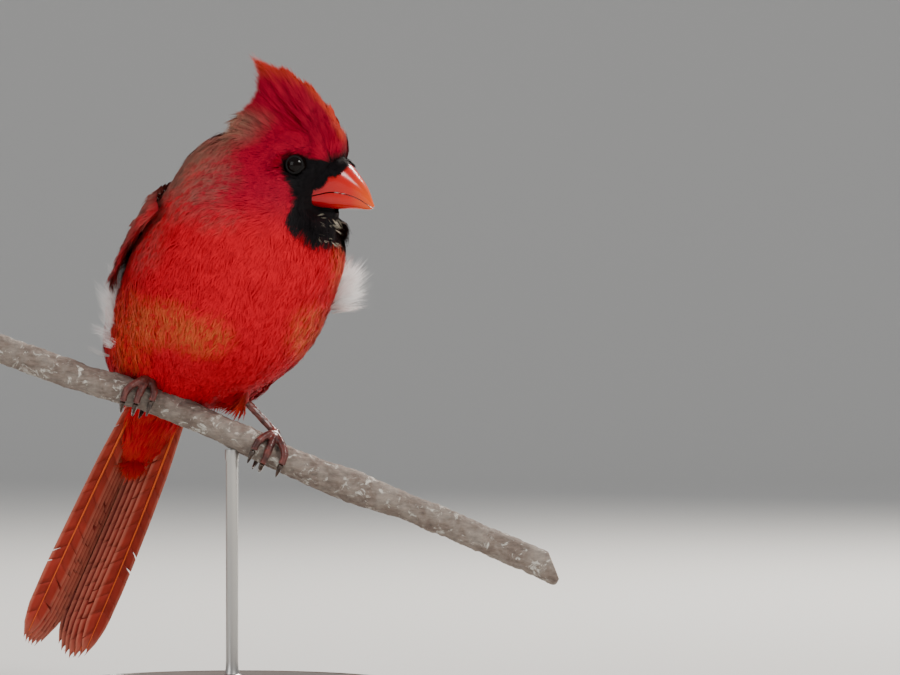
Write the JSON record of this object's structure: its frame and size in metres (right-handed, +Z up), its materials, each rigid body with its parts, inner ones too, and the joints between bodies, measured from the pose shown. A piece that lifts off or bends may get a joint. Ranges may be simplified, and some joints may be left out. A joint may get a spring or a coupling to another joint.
{
  "type": "northern cardinal model",
  "caption": "Life-size still model of a perched red crested songbird with black mask and coral bill, gripping a cut length of branch held on a round display stand.",
  "frame": {"origin": "centre of the stand's flat underside, on the surface that the part stands on", "axes": "+Z up; +X to the right of a viewer who faces the bird's breast, so the branch falls towards +X and the bill points that way; +Y away from that viewer"},
  "size_m": [0.1874, 0.118, 0.2122],
  "materials": {
    "plumage": "soft layered contour feathers, vivid red with a black mask and greyer red back",
    "flight_feathers": "smooth overlapping vanes, dull red with browner webs",
    "bill": "glossy coral horn, paler along the cutting edges",
    "eye": "wet, very dark brown",
    "leg_skin": "scaly dark reddish brown skin",
    "claw": "dark translucent horn",
    "bark": "grey-brown bark with pale lichen and bare cut ends",
    "stand_metal": "brushed metal rod",
    "stand_wood": "dark satin varnished wood"
  },
  "bodies": {
    "root": {"torso": "plumage", "neck": "plumage", "head": "plumage", "crest": "plumage", "thigh_left": "plumage", "thigh_right": "plumage", "tail": "flight_feathers", "wing_left": "flight_feathers", "wing_right": "flight_feathers", "bill_upper": "bill", "bill_lower": "bill", "eye_left": "eye", "eye_right": "eye", "leg_left": "leg_skin", "leg_right": "leg_skin", "claw_left_1": "claw", "claw_left_2": "claw", "claw_left_3": "claw", "claw_left_4": "claw", "claw_right_1": "claw", "claw_right_2": "claw", "claw_right_3": "claw", "claw_right_4": "claw", "perch": "bark", "stand_rod": "stand_metal", "stand_base": "stand_wood"}
  },
  "joints": []
}
